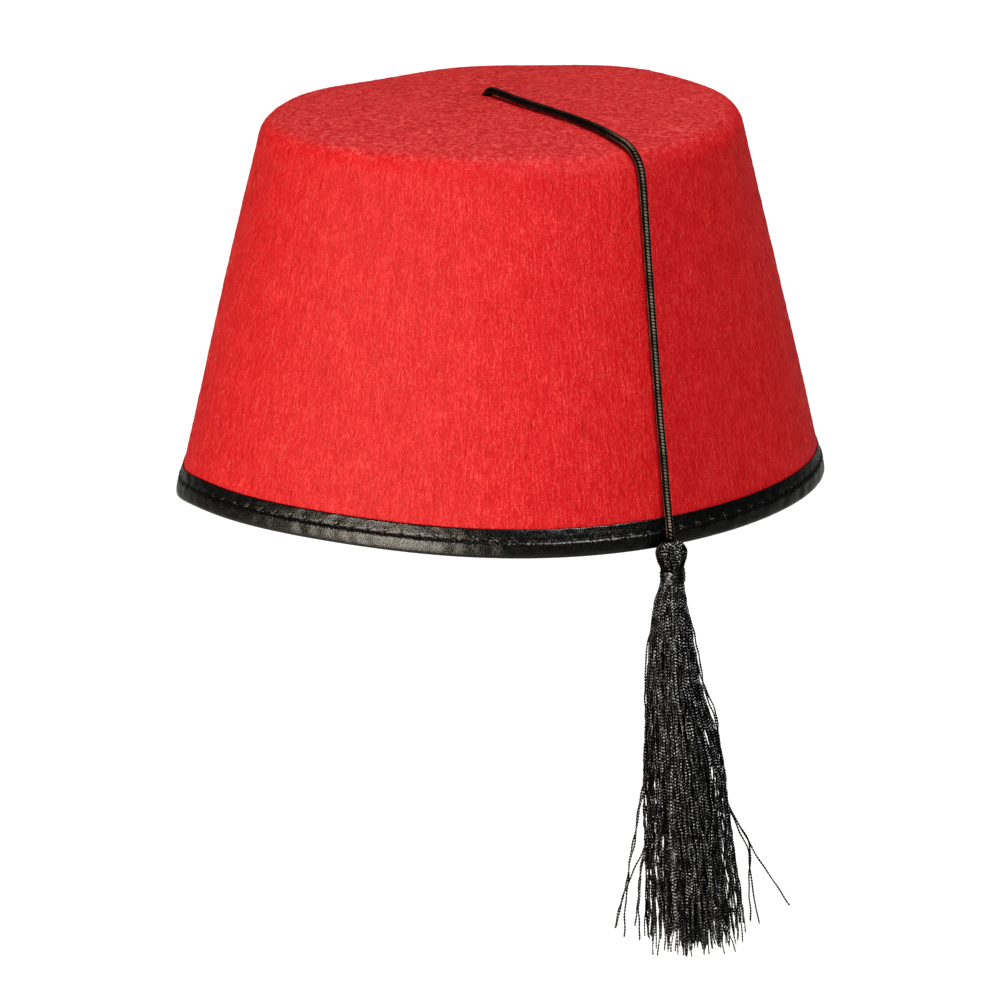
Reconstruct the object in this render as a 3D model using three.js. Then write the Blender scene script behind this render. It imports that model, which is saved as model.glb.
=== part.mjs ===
// A fez: one moulded felt cap, a folded tape around its rim, and a tassel on a cord.
// Millimetres, +Z up, origin at the middle of the rim's opening. The front faces -Y,
// the wearer's left is +X, and turns are counted from the front towards the left.
import * as THREE from 'three';
import { mergeVertices } from 'three/addons/utils/BufferGeometryUtils.js';

// Driving dimensions of the cap
const cornerHeight = 111.6; // where side and crown would meet if the edge were sharp
const edgeRadius = 7;
const domeRise = 5.3; // how much higher a sharp-edged crown would be at its middle than at its edge
const feltWall = 2;
const feltHem = 1.3; // height of the felt's lower edge, inside the fold of the tape
const turns = 72;
const clearance = 0.3;

// The outline seen from above, at the rim and at the crown's corner. Each radius is the
// mean, times one plus the oval, egg and corner shares of the cosines of 2, 3 and 4 turns.
const rim = { mean: 92.5, oval: 0.02, egg: 0.03, corner: 0.02, back: 0 };
const crown = { mean: 69.9, oval: 0.02, egg: 0.03, corner: 0, back: 1.6 };

// The eyelet for the cord, at the top of the domed crown
const apex = { x: -4.9, y: -5.1, z: 116.4 };
const cordHeading = 28.4; // degrees from +X towards +Y, the way the cord leaves the eyelet
const eyeletRows = [
  { depth: 0, halfLength: 2.5, halfWidth: 1.8, shift: 1.5 },
  { depth: feltWall, halfLength: 2.1, halfWidth: 1.8, shift: 0.2 },
];

// The tape around the rim, as the outline of its cross-section: the distance out from
// the felt's outer face and the height above the rim. It goes up the outside, over the
// stitched strip's top, down inside the fold and back around the roll at the bottom.
const tapeRows = [
  { out: 1.55, up: 2.4 },
  { out: 1.35, up: 3.9 },
  { out: 0.8, up: 4.7 },
  { out: 0.95, up: 5.3 },
  { out: 0.95, up: 8.1 },
  { out: 0.75, up: 8.4 },
  { out: 0.3, up: 8.4 },
  { out: 0.3, up: 1.2 },
  { out: 0.1, up: 1 },
  { out: -2.2, up: 1 },
  { out: -2.4, up: 1.2 },
  { out: -2.4, up: 7.9 },
  { out: -3, up: 7.9 },
  { out: -3, up: 0.8 },
  { out: -2.3, up: 0.1 },
  { out: 0.5, up: 0 },
  { out: 1.25, up: 0.9 },
];

// The cord's centreline, from inside the eyelet over the crown and down the left side
const cordDiameter = 2.5;
const cordSides = 8;
const cordSteps = 72;
const cordRoute = [
  [-4.6, -5, 115],
  [-4.1, -4.7, 115.9],
  [-3.2, -4.2, 117],
  [-2, -3.5, 117.8],
  [-0.5, -2.7, 118.1],
  [5, 0.2, 118.1],
  [12.8, 4.6, 117.8],
  [24.5, 12.8, 117.2],
  [35, 20.4, 116.4],
  [45.7, 27.1, 115.4],
  [51, 29.7, 114.9],
  [55.5, 31.7, 114.4],
  [58.5, 33, 114],
  [60.6, 34, 113.3],
  [62.2, 34.9, 112.3],
  [63.3, 35.6, 110.9],
  [64.2, 36.3, 109.2],
  [64.8, 36.8, 106.9],
  [65.4, 37.1, 103.9],
  [66.6, 37.4, 97.7],
  [69.5, 38, 82.6],
  [74.9, 39.3, 54.9],
  [78.8, 40.3, 34.9],
  [80.4, 40.8, 27.4],
  [82.3, 41.2, 19.5],
  [84.7, 41.6, 12],
  [87.2, 41.9, 7.2],
  [88.6, 42, 5.1],
  [88.8, 42, 3.2],
];

// The knot that stops the cord inside the crown
const knotRows = [
  { down: 0, width: 3.4, depth: 3.4 },
  { down: 0.8, width: 6, depth: 6 },
  { down: 2.2, width: 7, depth: 7 },
  { down: 3.8, width: 6, depth: 6 },
  { down: 4.8, width: 3.2, depth: 3.2 },
];

// The tassel below the cord's end: sizes at each distance down, along the hat's side
// and away from it. It leans a little to the back.
const tasselTop = [88.8, 42, 2.7];
const tasselLean = 2.6;
const headRows = [
  { down: 0, width: 3.6, depth: 3.6 },
  { down: 1.2, width: 7.2, depth: 5.6 },
  { down: 3.4, width: 9.4, depth: 7.4 },
  { down: 5.6, width: 8.6, depth: 7.4 },
  { down: 8, width: 6.9, depth: 6.6 },
];
const neckRows = [
  { down: 8.3, width: 7, depth: 6.8 },
  { down: 10.2, width: 7.3, depth: 7.1 },
  { down: 12.1, width: 7, depth: 6.8 },
];
const skirtRows = [
  { down: 12.4, width: 6.8, depth: 6.6 },
  { down: 17, width: 9.6, depth: 8.6 },
  { down: 28, width: 14, depth: 11.6 },
  { down: 55, width: 21, depth: 16 },
  { down: 70, width: 24, depth: 18 },
  { down: 92, width: 26, depth: 19.5 },
  { down: 118, width: 28, depth: 21 },
  { down: 124, width: 24, depth: 18 },
];
const tasselSides = 20;

const redFelt = new THREE.MeshStandardMaterial({ color: 0xd0262a, roughness: 0.95, metalness: 0 });
const blackSatin = new THREE.MeshStandardMaterial({ color: 0x171716, roughness: 0.45, metalness: 0 });
const blackBraid = new THREE.MeshStandardMaterial({ color: 0x15120f, roughness: 0.7, metalness: 0 });
const blackRayon = new THREE.MeshStandardMaterial({ color: 0x1a1a1a, roughness: 0.5, metalness: 0 });

const domeSlope = Math.atan2(2 * domeRise, crown.mean);

function planPoint(plan, turn) {
  const shares = plan.oval * Math.cos(2 * turn) + plan.egg * Math.cos(3 * turn)
    + plan.corner * Math.cos(4 * turn);
  const radius = plan.mean * (1 + shares);
  return new THREE.Vector2(radius * Math.sin(turn), plan.back - radius * Math.cos(turn));
}

function planNormal(plan, turn) {
  const step = 0.001;
  const along = planPoint(plan, turn + step).sub(planPoint(plan, turn - step));
  return new THREE.Vector2(along.y, -along.x).normalize();
}

// The angle by which the side leans in at this turn
function sideLean(turn) {
  return Math.atan2(planPoint(rim, turn).distanceTo(planPoint(crown, turn)), cornerHeight);
}

// A point of the straight side, a distance out from the felt's outer face
function sidePoint(turn, up, out) {
  const share = up / cornerHeight;
  const flat = planPoint(rim, turn).lerp(planPoint(crown, turn), share);
  flat.addScaledVector(planNormal(rim, turn), out);
  return new THREE.Vector3(flat.x, flat.y, up);
}

// A point of the rounded edge, below the felt's outer face. Share 0 is at the side and 1 at the crown.
function edgePoint(turn, share, depth) {
  const lean = sideLean(turn);
  const last = Math.PI / 2 - domeSlope;
  const tangent = edgeRadius * Math.tan((last - lean) / 2);
  const middleOut = tangent * Math.sin(lean) - edgeRadius * Math.cos(lean);
  const middleUp = cornerHeight - tangent * Math.cos(lean) - edgeRadius * Math.sin(lean);
  const angle = lean + (last - lean) * share;
  const out = middleOut + (edgeRadius - depth) * Math.cos(angle);
  const flat = planPoint(crown, turn).addScaledVector(planNormal(crown, turn), out);
  return new THREE.Vector3(flat.x, flat.y, middleUp + (edgeRadius - depth) * Math.sin(angle));
}

// The eyelet's edge on the line from its middle to a point of the crown
function eyeletPoint(row, towards) {
  const heading = THREE.MathUtils.degToRad(cordHeading);
  const along = new THREE.Vector2(Math.cos(heading), Math.sin(heading));
  const middle = new THREE.Vector2(apex.x, apex.y).addScaledVector(along, row.shift);
  const reach = new THREE.Vector2(towards.x, towards.y).sub(middle).normalize();
  const across = reach.x * -along.y + reach.y * along.x;
  const length = 1 / Math.hypot(reach.dot(along) / row.halfLength, across / row.halfWidth);
  const flat = middle.addScaledVector(reach, length);
  return new THREE.Vector3(flat.x, flat.y, apex.z - row.depth);
}

// A point of the domed crown. Share 0 is at the rounded edge and 1 at the eyelet.
function domePoint(turn, share, row) {
  const outer = edgePoint(turn, 1, row.depth);
  const point = outer.clone().lerp(eyeletPoint(row, outer), share);
  point.z = outer.z + (apex.z - row.depth - outer.z) * (1 - (1 - share) ** 2);
  return point;
}

function ringOf(count, pointAt) {
  return Array.from({ length: count }, (_, i) => pointAt((2 * Math.PI * i) / count));
}

// A closed body through rings of equal length, each joined to the next. The last ring
// joins the first, or else both ends are closed by a flat fan.
function bodyThrough(rings, joinEnds) {
  const count = rings[0].length;
  const points = rings.flat();
  const faces = [];
  const bands = joinEnds ? rings.length : rings.length - 1;
  for (let r = 0; r < bands; r += 1) {
    const next = (r + 1) % rings.length;
    for (let i = 0; i < count; i += 1) {
      const j = (i + 1) % count;
      faces.push(r * count + i, r * count + j, next * count + j);
      faces.push(r * count + i, next * count + j, next * count + i);
    }
  }
  if (!joinEnds) {
    const last = (rings.length - 1) * count;
    for (let i = 1; i < count - 1; i += 1) {
      faces.push(0, i + 1, i);
      faces.push(last, last + i, last + i + 1);
    }
  }
  const geometry = new THREE.BufferGeometry().setFromPoints(points);
  geometry.setIndex(faces);
  geometry.computeVertexNormals();
  return geometry;
}

function named(name, geometry, material) {
  const mesh = new THREE.Mesh(geometry, material);
  mesh.name = name;
  return mesh;
}

// The felt cap: up the outer face from the hem, over the edge and crown to the eyelet,
// and back down the inner face.
function makeFeltCap() {
  const sideShares = [0, 0.25, 0.5, 0.75];
  const edgeShares = [0, 0.17, 0.33, 0.5, 0.67, 0.83, 1];
  const domeShares = [0.14, 0.3, 0.48, 0.68, 0.88, 1];
  const face = (row) => {
    const inward = (turn) => -row.depth / Math.cos(sideLean(turn));
    const side = sideShares.map((share) => ringOf(turns, (turn) => {
      const hem = sidePoint(turn, feltHem, inward(turn));
      return hem.lerp(edgePoint(turn, 0, row.depth), share);
    }));
    const edge = edgeShares.map((share) => ringOf(turns, (turn) => edgePoint(turn, share, row.depth)));
    const dome = domeShares.map((share) => ringOf(turns, (turn) => domePoint(turn, share, row)));
    return [...side, ...edge, ...dome];
  };
  const outer = face(eyeletRows[0]);
  const inner = face(eyeletRows[1]).reverse();
  return named('felt_cap', bodyThrough([...outer, ...inner], true), redFelt);
}

function makeRimTape() {
  const rings = tapeRows.map((row) => ringOf(turns, (turn) => sidePoint(turn, row.up, row.out)));
  return named('rim_tape', bodyThrough(rings, true), blackSatin);
}

function makeCord() {
  const route = new THREE.CatmullRomCurve3(cordRoute.map((point) => new THREE.Vector3(...point)));
  const section = new THREE.Shape(ringOf(cordSides, (turn) => new THREE.Vector2(
    (cordDiameter / 2) * Math.cos(turn),
    (cordDiameter / 2) * Math.sin(turn),
  )));
  const tube = new THREE.ExtrudeGeometry(section, {
    steps: cordSteps,
    extrudePath: route,
    bevelEnabled: false,
  });
  tube.deleteAttribute('normal');
  tube.deleteAttribute('uv');
  return named('tassel_cord', mergeVertices(tube), blackBraid);
}

// A body of oval sections stacked downwards, turned so that its width lies along the hat's side
function stackedOvals(rows) {
  const rings = rows.map((row) => ringOf(tasselSides, (turn) => new THREE.Vector3(
    (row.depth / 2) * Math.cos(turn),
    (row.width / 2) * Math.sin(turn),
    -row.down,
  )));
  return bodyThrough(rings.reverse(), false);
}

function makeKnot() {
  const knot = named('cord_knot', stackedOvals(knotRows), blackBraid);
  knot.position.set(apex.x, apex.y, apex.z - feltWall - clearance);
  return knot;
}

function makeTassel() {
  const tassel = new THREE.Group();
  tassel.add(named('tassel_head', stackedOvals(headRows), blackRayon));
  tassel.add(named('tassel_neck', stackedOvals(neckRows), blackRayon));
  tassel.add(named('tassel_skirt', stackedOvals(skirtRows), blackRayon));
  tassel.position.set(...tasselTop);
  tassel.rotation.x = THREE.MathUtils.degToRad(tasselLean);
  return tassel;
}

const fez = new THREE.Group();
fez.add(makeFeltCap(), makeRimTape(), makeCord(), makeKnot(), makeTassel());
export default fez;
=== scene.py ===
import math

import bpy
import numpy as np
from mathutils import Matrix, Vector


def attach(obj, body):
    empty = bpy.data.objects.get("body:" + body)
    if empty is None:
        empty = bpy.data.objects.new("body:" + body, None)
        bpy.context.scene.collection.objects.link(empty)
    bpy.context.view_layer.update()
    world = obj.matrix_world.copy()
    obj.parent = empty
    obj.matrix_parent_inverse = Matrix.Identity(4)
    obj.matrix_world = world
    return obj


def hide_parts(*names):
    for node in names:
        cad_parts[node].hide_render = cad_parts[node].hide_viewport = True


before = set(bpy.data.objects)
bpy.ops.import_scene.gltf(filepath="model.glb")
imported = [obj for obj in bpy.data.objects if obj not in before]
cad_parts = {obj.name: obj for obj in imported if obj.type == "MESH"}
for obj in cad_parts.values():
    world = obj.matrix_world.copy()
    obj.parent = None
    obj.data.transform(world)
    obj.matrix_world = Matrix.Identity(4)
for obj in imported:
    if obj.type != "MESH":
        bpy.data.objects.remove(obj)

# A fez: one felt cap, a folded satin tape around its rim, and a tassel on a braided cord.
# Lengths are millimetres until addPiece turns them into metres. The front faces -Y, the
# wearer's left is +X, and turns are counted from the front towards the left.
mm = 0.001
fullTurn = 2 * math.pi
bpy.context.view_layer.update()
print("frame loaded:", len(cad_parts), "nodes")


def gridQuads(rows, columns, closeRows=False):
    # quads between neighbours of a grid whose last column joins the first, and whose last row may
    bands = rows if closeRows else rows - 1
    row, column = np.meshgrid(np.arange(bands), np.arange(columns), indexing="ij")
    steps = ((0, 0), (0, 1), (1, 1), (1, 0))
    corners = [(row + r) % rows * columns + (column + c) % columns for r, c in steps]
    return np.stack(corners, -1).reshape(-1, 4)


def endFan(sides):
    # quads that close a ring with an even number of sides
    return np.array([[0, k + 1, k + 2, k + 3] for k in range(0, sides - 2, 2)])


def addPiece(name, points, faces, material, values=None, replaces=()):
    # a smooth mesh from points in millimetres, arrays of faces and values for each point
    points = np.asarray(points).reshape(-1, 3)
    mesh = bpy.data.meshes.new(name)
    mesh.from_pydata(points * mm, [], [face for group in faces for face in group.tolist()])
    for label, field in (values or {}).items():
        field = np.asarray(field, np.float32)
        isVector = field.size == points.size
        attribute = mesh.attributes.new(label, "FLOAT_VECTOR" if isVector else "FLOAT", "POINT")
        attribute.data.foreach_set("vector" if isVector else "value", field.ravel())
    mesh.shade_smooth()
    mesh.materials.append(material)
    piece = bpy.data.objects.new(name, mesh)
    bpy.context.scene.collection.objects.link(piece)
    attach(piece, "root")
    if replaces:
        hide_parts(*replaces)
    print(name + ":", sum(len(group) * (group.shape[1] - 2) for group in faces), "triangles")
    return piece


def bell(distance, width):
    # 1 at the middle and less away from it: exp(-(distance / width)²)
    return np.exp(-(distance / width) ** 2)


def turnFrom(middle, turn):
    # the angle from one turn to another, the short way round
    return (turn - middle + math.pi) % fullTurn - math.pi


def unit(vectors):
    return vectors / np.linalg.norm(vectors, axis=-1, keepdims=True)


def lengthsAlong(line):
    # the length of a line up to each of its points
    return np.concatenate([[0], np.cumsum(np.linalg.norm(np.diff(line, axis=0), axis=1))])


def smoothLine(knots, count):
    # evenly spaced points of a curve through the knots: a cubic between each two, whose slope at a knot is
    # that of its neighbours
    knots = np.asarray(knots, float)
    at = lengthsAlong(knots)
    slopes = np.gradient(knots, at, axis=0)
    along = np.linspace(0, at[-1], 8 * count)
    k = np.clip(np.searchsorted(at, along, side="right") - 1, 0, len(at) - 2)
    gap = (at[k + 1] - at[k])[:, None]
    s = (along - at[k])[:, None] / gap
    fine = (knots[k] * (1 + 2 * s) * (1 - s) ** 2 + knots[k + 1] * s * s * (3 - 2 * s)
            + slopes[k] * gap * s * (1 - s) ** 2 - slopes[k + 1] * gap * s * s * (1 - s))
    length = lengthsAlong(fine)
    evenly = np.linspace(0, length[-1], count)
    return np.stack([np.interp(evenly, length, axis) for axis in fine.T], -1)


def waver(random, items, along, longest, octaves=3):
    # a smooth random number for each item at each place along it: a sum of sines of shorter and shorter waves
    total = np.zeros((items, np.shape(along)[-1]))
    for octave in range(octaves):
        wave = longest * random.uniform(0.75, 1.3, (items, 1)) / 1.9 ** octave
        phase = random.uniform(0, fullTurn, (items, 1))
        total += np.sin(fullTurn * along / wave + phase) / 1.7 ** octave
    return total / 1.5


def ringWaver(random, turn, fewest, most, terms):
    # the same around a ring, where it closes on itself: sines with whole numbers of waves
    waves = random.integers(fewest, most, terms)[:, None]
    phase = random.uniform(0, fullTurn, (terms, 1))
    return np.sin(waves * turn + phase).sum(0) / math.sqrt(terms / 2)


def tubesAlong(paths, across, wide, deep, twist, sides):
    # oval rings along many paths at once: path + wide·cos a·first + deep·sin a·second, where first is the
    # direction across, turned by twist, and second is square to it
    count, steps = paths.shape[:2]
    tangent = unit(np.gradient(paths, axis=1))
    side = unit(across - np.sum(across * tangent, -1, keepdims=True) * tangent)
    square = np.cross(tangent, side)
    turn = np.broadcast_to(twist, (count, steps))[..., None]
    first = (np.cos(turn) * side + np.sin(turn) * square)[:, :, None]
    second = (np.cos(turn) * square - np.sin(turn) * side)[:, :, None]
    angle = (fullTurn * np.arange(sides) / sides)[:, None]
    width = np.broadcast_to(wide, (count, steps))[..., None, None]
    depth = np.broadcast_to(deep, (count, steps))[..., None, None]
    rings = paths[:, :, None] + width * np.cos(angle) * first + depth * np.sin(angle) * second
    fan = endFan(sides)
    faces = np.concatenate([gridQuads(steps, sides), fan[:, ::-1], fan + (steps - 1) * sides])
    faces = faces + (np.arange(count) * steps * sides)[:, None, None]
    return rings.reshape(-1, 3), faces.reshape(-1, 4)


def yarnValues(crest, shine, sides):
    # the two values of each ring of a tube, for all its points
    shine = np.broadcast_to(shine, np.shape(crest))
    return np.repeat(np.stack([np.ravel(crest), shine.ravel()], -1), sides, axis=0)


def joined(parts):
    # several sets of points, quads and yarn values as one set. The values are each point's crest and shine.
    starts = np.cumsum([0] + [len(part[0]) for part in parts])
    crest, shine = np.concatenate([part[2] for part in parts]).T
    return (np.concatenate([part[0] for part in parts]),
            np.concatenate([part[1] + start for part, start in zip(parts, starts)]),
            {"crest": crest, "shine": shine})


# Materials

def linear(hexColour):
    # an sRGB hex value as linear red, green, blue and alpha
    parts = [int(hexColour[i:i + 2], 16) / 255 for i in (1, 3, 5)]
    return [c / 12.92 if c <= 0.04045 else ((c + 0.055) / 1.055) ** 2.4 for c in parts] + [1.0]


def addNode(tree, kind, settings=None, links=None, output=0):
    # a node with its settings, and one of its outputs as the result. A link is a socket to join or a value to
    # set, by the input's name or number.
    node = tree.nodes.new("ShaderNode" + kind)
    for key, value in (settings or {}).items():
        setattr(node, key, value)
    for key, value in (links or {}).items():
        if isinstance(value, bpy.types.NodeSocket):
            tree.links.new(value, node.inputs[key])
        else:
            node.inputs[key].default_value = value
    return node.outputs[output] if node.outputs else None


def newTree(name):
    material = bpy.data.materials.new(name)
    material.use_nodes = True
    material.node_tree.nodes.clear()
    return material, material.node_tree


def millimetres(tree, stretch=1):
    # object coordinates in millimetres, the height squeezed where a pattern is drawn out along it
    place = addNode(tree, "TexCoord", None, None, "Object")
    scale = (1 / mm, 1 / mm, stretch / mm)
    return addNode(tree, "VectorMath", {"operation": "MULTIPLY"}, {0: place, 1: scale})


colours = {"data_type": "RGBA"}
feltLook = {
    "deep": "#B01019", "main": "#D4272D", "pale": "#FA8272", "sheenTint": "#FF9A88",
    # sizes of the pattern in millimetres: short fibres and how far they are drawn out, streaks, ridges and
    # how far they are drawn out, the bends of these and their reach, clumps on the crown, clouds and flecks
    "grain": 0.42, "grainLong": 1.9, "streak": 0.5, "ridge": 0.9, "ridgeLong": 6.0,
    "warp": 5.0, "warpReach": 1.6, "clump": 1.5, "mottle": 9.0, "flecks": 0.3,
}


def makeFeltMaterial():
    # wool felt, pressed over a form and brushed: short fibres, upright on the side and without direction on
    # the crown, scatter the light softly and leave fine pale and deep flecks
    look = feltLook
    material, tree = newTree("pressedWoolFelt")
    place = millimetres(tree)
    grain = addNode(tree, "Attribute", {"attribute_name": "grain"}, None, "Vector")
    crownShare = addNode(tree, "Attribute", {"attribute_name": "crownShare"}, None, "Fac")
    tall = addNode(tree, "VectorMath", {"operation": "MULTIPLY"},
                   {0: grain, 1: (1, 1, cap["fibreStretch"] / look["grainLong"])})
    drift = addNode(tree, "TexNoise", None,
                    {"Vector": grain, "Scale": 1 / look["warp"], "Detail": 1.0}, "Color")
    bent = addNode(tree, "VectorMath", {"operation": "MULTIPLY_ADD"},
                   {0: drift, 1: (look["warpReach"],) * 3, 2: grain})
    fine = addNode(tree, "TexNoise", None,
                   {"Vector": tall, "Scale": 1 / look["grain"], "Detail": 3.0, "Roughness": 0.65})
    streak = addNode(tree, "TexNoise", None,
                     {"Vector": bent, "Scale": 1 / look["streak"], "Detail": 3.0, "Roughness": 0.6})
    side = addNode(tree, "Mix", None, {0: 0.4, 2: fine, 3: streak})
    side = addNode(tree, "MapRange", None, {0: side, 1: 0.3, 2: 0.7})
    speck = addNode(tree, "TexNoise", None,
                    {"Vector": place, "Scale": 1 / look["grain"], "Detail": 3.0, "Roughness": 0.7})
    clump = addNode(tree, "TexNoise", None, {"Vector": place, "Scale": 1 / look["clump"], "Detail": 2.0})
    top = addNode(tree, "Mix", None, {0: 0.45, 2: speck, 3: clump})
    top = addNode(tree, "MapRange", None, {0: top, 1: 0.38, 2: 0.62})
    fibre = addNode(tree, "Mix", None, {0: crownShare, 2: side, 3: top})
    fleck = addNode(tree, "TexNoise", None, {"Vector": place, "Scale": 1 / look["flecks"], "Detail": 1.0})
    mottle = addNode(tree, "TexNoise", None,
                     {"Vector": place, "Scale": 1 / look["mottle"], "Detail": 3.0, "Roughness": 0.55})
    # deep between the fibres, pale on the highest of them, on single flecks, and deeper again in wide clouds
    share = addNode(tree, "MapRange", None, {0: fibre, 1: 0.1, 2: 0.6})
    colour = addNode(tree, "Mix", colours, {0: share, 6: linear(look["deep"]), 7: linear(look["main"])}, 2)
    share = addNode(tree, "MapRange", None, {0: fibre, 1: 0.5, 2: 1.0, 3: 0.0, 4: 0.38})
    colour = addNode(tree, "Mix", colours, {0: share, 6: colour, 7: linear(look["pale"])}, 2)
    share = addNode(tree, "MapRange", None, {0: fleck, 1: 0.6, 2: 0.75, 3: 0.0, 4: 0.25})
    colour = addNode(tree, "Mix", colours, {0: share, 6: colour, 7: linear(look["pale"])}, 2)
    share = addNode(tree, "MapRange", None, {0: mottle, 1: 0.35, 2: 0.65, 3: 0.3, 4: 0.0})
    colour = addNode(tree, "Mix", colours, {0: share, 6: colour, 7: linear(look["deep"])}, 2)
    # long ridges on the side, streaks of the grain, with painted shade deepening the grooves between them
    long = addNode(tree, "VectorMath", {"operation": "MULTIPLY"},
                   {0: bent, 1: (1, 1, cap["fibreStretch"] * look["ridge"] / look["ridgeLong"])})
    ridge = addNode(tree, "TexNoise", None, {"Vector": long, "Scale": 1 / look["ridge"], "Detail": 3.0})
    share = addNode(tree, "MapRange", None, {0: ridge, 1: 0.36, 2: 0.6, 3: 0.4, 4: 0.0})
    share = addNode(tree, "Mix", None, {0: crownShare, 2: share, 3: 0.0})
    colour = addNode(tree, "Mix", colours, {0: share, 6: colour, 7: linear(look["deep"])}, 2)
    height = addNode(tree, "Math", {"operation": "MULTIPLY_ADD"}, {0: ridge, 1: 3.2, 2: fibre})
    bump = addNode(tree, "Bump", None, {"Strength": 0.7, "Distance": 0.12 * mm, "Height": height})
    shader = addNode(tree, "BsdfPrincipled", None, {
        "Base Color": colour, "Roughness": 0.58, "Specular IOR Level": 0.2, "Sheen Weight": 0.01,
        "Sheen Roughness": 0.5, "Sheen Tint": linear(look["sheenTint"]), "Normal": bump})
    addNode(tree, "OutputMaterial", None, {"Surface": shader})
    return material


def makeFibreMaterial():
    # single wool hairs, some as deep as the felt and some worn paler
    material, tree = newTree("looseWoolFibre")
    tone = addNode(tree, "Attribute", {"attribute_name": "tone"}, None, "Fac")
    ends = {6: linear(feltLook["deep"]), 7: linear(feltLook["pale"])}
    colour = addNode(tree, "Mix", colours, {0: tone, **ends}, 2)
    shader = addNode(tree, "BsdfPrincipled", None, {
        "Base Color": colour, "Roughness": 0.7, "Specular IOR Level": 0.2})
    addNode(tree, "OutputMaterial", None, {"Surface": shader})
    return material


tapeLook = {"dark": "#080807", "wornAndGlint": "#161614", "weave": 0.4, "fleck": 0.33}


def makeTapeMaterial():
    # polyester satin, woven with long floats and cut on the bias: black, with a speckled grey shine. Single
    # floats are too fine to show, so the speckle is drawn coarser than they are.
    look = tapeLook
    material, tree = newTree("blackSatinTape")
    place = millimetres(tree)
    weave = addNode(tree, "TexNoise", None,
                    {"Vector": place, "Scale": 1 / look["weave"], "Detail": 1.5, "Roughness": 0.6})
    fleck = addNode(tree, "TexNoise", None, {"Vector": place, "Scale": 1 / look["fleck"], "Detail": 1.0})
    share = addNode(tree, "MapRange", None, {0: weave, 1: 0.45, 2: 0.75})
    colour = addNode(tree, "Mix", colours, {0: share, 6: linear(look["dark"]), 7: linear(look["wornAndGlint"])}, 2)
    rough = addNode(tree, "MapRange", None, {0: fleck, 1: 0.38, 2: 0.62, 3: 0.15, 4: 0.42})
    height = addNode(tree, "Math", {"operation": "MULTIPLY_ADD"}, {0: fleck, 1: 1.2, 2: weave})
    bump = addNode(tree, "Bump", None, {"Strength": 1.0, "Distance": 0.06 * mm, "Height": height})
    shader = addNode(tree, "BsdfPrincipled", None, {
        "Base Color": colour, "Roughness": rough, "Specular IOR Level": 0.5, "Normal": bump})
    addNode(tree, "OutputMaterial", None, {"Surface": shader})
    return material


# Each yarn's dark colour and the colour of its painted glints, where a dot begins and is full, the least
# share of a painted glint between patches, the sizes of patches and filaments, where filaments are bare,
# roughness and gloss
yarnLooks = {
    "braid": {"dark": "#0A0807", "glint": "#766E62", "dot": 0.6, "dotFull": 0.92, "least": 0.5, "patch": 6,
              "patchStretch": 1, "filament": 0.3, "bare": (0.3, 0.45), "rough": 0.5, "gloss": 0.1},
    "rayon": {"dark": "#060606", "glint": "#EEF1F4", "dot": 0.3, "dotFull": 0.6, "least": 0.2, "patch": 1.1,
              "patchStretch": 0.3, "filament": 0.5, "bare": (0.4, 0.56), "rough": 0.3, "gloss": 0.25},
    "wound": {"dark": "#060606", "glint": "#CACCD0", "dot": -0.9, "dotFull": 0.2, "least": 0.3, "patch": 0.8,
              "patchStretch": 2.5, "filament": 0.3, "bare": (0.3, 0.45), "rough": 0.3, "gloss": 0.3},
    "sewing": {"dark": "#080808", "glint": "#E2E1DA", "dot": -1.1, "dotFull": -1.0, "least": 0.6, "patch": 7,
               "patchStretch": 1, "filament": 0.3, "bare": (0.2, 0.3), "rough": 0.3, "gloss": 0.3},
}


def makeThreadMaterial(name, look):
    # yarn of smooth fine filaments, black. It has painted glints where a ply or strand comes up to the
    # surface, which its "crest" attribute counts in waves along it, and as strongly as its "shine" says
    # there. The filaments are too fine to show, so the glints are painted as pale dots in its colour:
    # cos(2·pi·crest) within two limits, times patches, shine and a noise for the filaments.
    material, tree = newTree(name)
    crest = addNode(tree, "Attribute", {"attribute_name": "crest"}, None, "Fac")
    shine = addNode(tree, "Attribute", {"attribute_name": "shine"}, None, "Fac")
    angle = addNode(tree, "Math", {"operation": "MULTIPLY"}, {0: crest, 1: fullTurn})
    wave = addNode(tree, "Math", {"operation": "COSINE"}, {0: angle})
    dots = addNode(tree, "MapRange", None, {0: wave, 1: look["dot"], 2: look["dotFull"]})
    patches = addNode(tree, "TexNoise", None, {
        "Vector": millimetres(tree, look["patchStretch"]), "Scale": 1 / look["patch"], "Detail": 2.0})
    patches = addNode(tree, "MapRange", None, {0: patches, 1: 0.42, 2: 0.58, 3: look["least"], 4: 1.0})
    filaments = addNode(tree, "TexNoise", None, {
        "Vector": millimetres(tree), "Scale": 1 / look["filament"], "Detail": 2.0, "Roughness": 0.6})
    share = addNode(tree, "MapRange", None, {0: filaments, 1: look["bare"][0], 2: look["bare"][1]})
    for factor in (dots, patches, shine):
        share = addNode(tree, "Math", {"operation": "MULTIPLY"}, {0: share, 1: factor})
    colour = addNode(tree, "Mix", colours, {0: share, 6: linear(look["dark"]), 7: linear(look["glint"])}, 2)
    bump = addNode(tree, "Bump", None, {"Strength": 0.4, "Distance": 0.05 * mm, "Height": filaments})
    shader = addNode(tree, "BsdfPrincipled", None, {
        "Base Color": colour, "Roughness": look["rough"], "Specular IOR Level": look["gloss"],
        "Normal": bump})
    addNode(tree, "OutputMaterial", None, {"Surface": shader})
    return material


# The camera stands where the photo's did: a long lens from the wearer's left, a little above

view = {
    "azimuth": 87.4, "elevation": 14.0, "roll": -1.2, "distance": 2000, "aim": (0, 0, 55.8),
    "aimAcross": 2.0, "aimDown": 61.8,  # from the aim to the picture's middle, along the picture
    "lens": 239.76, "sensor": 36,
}


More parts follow.
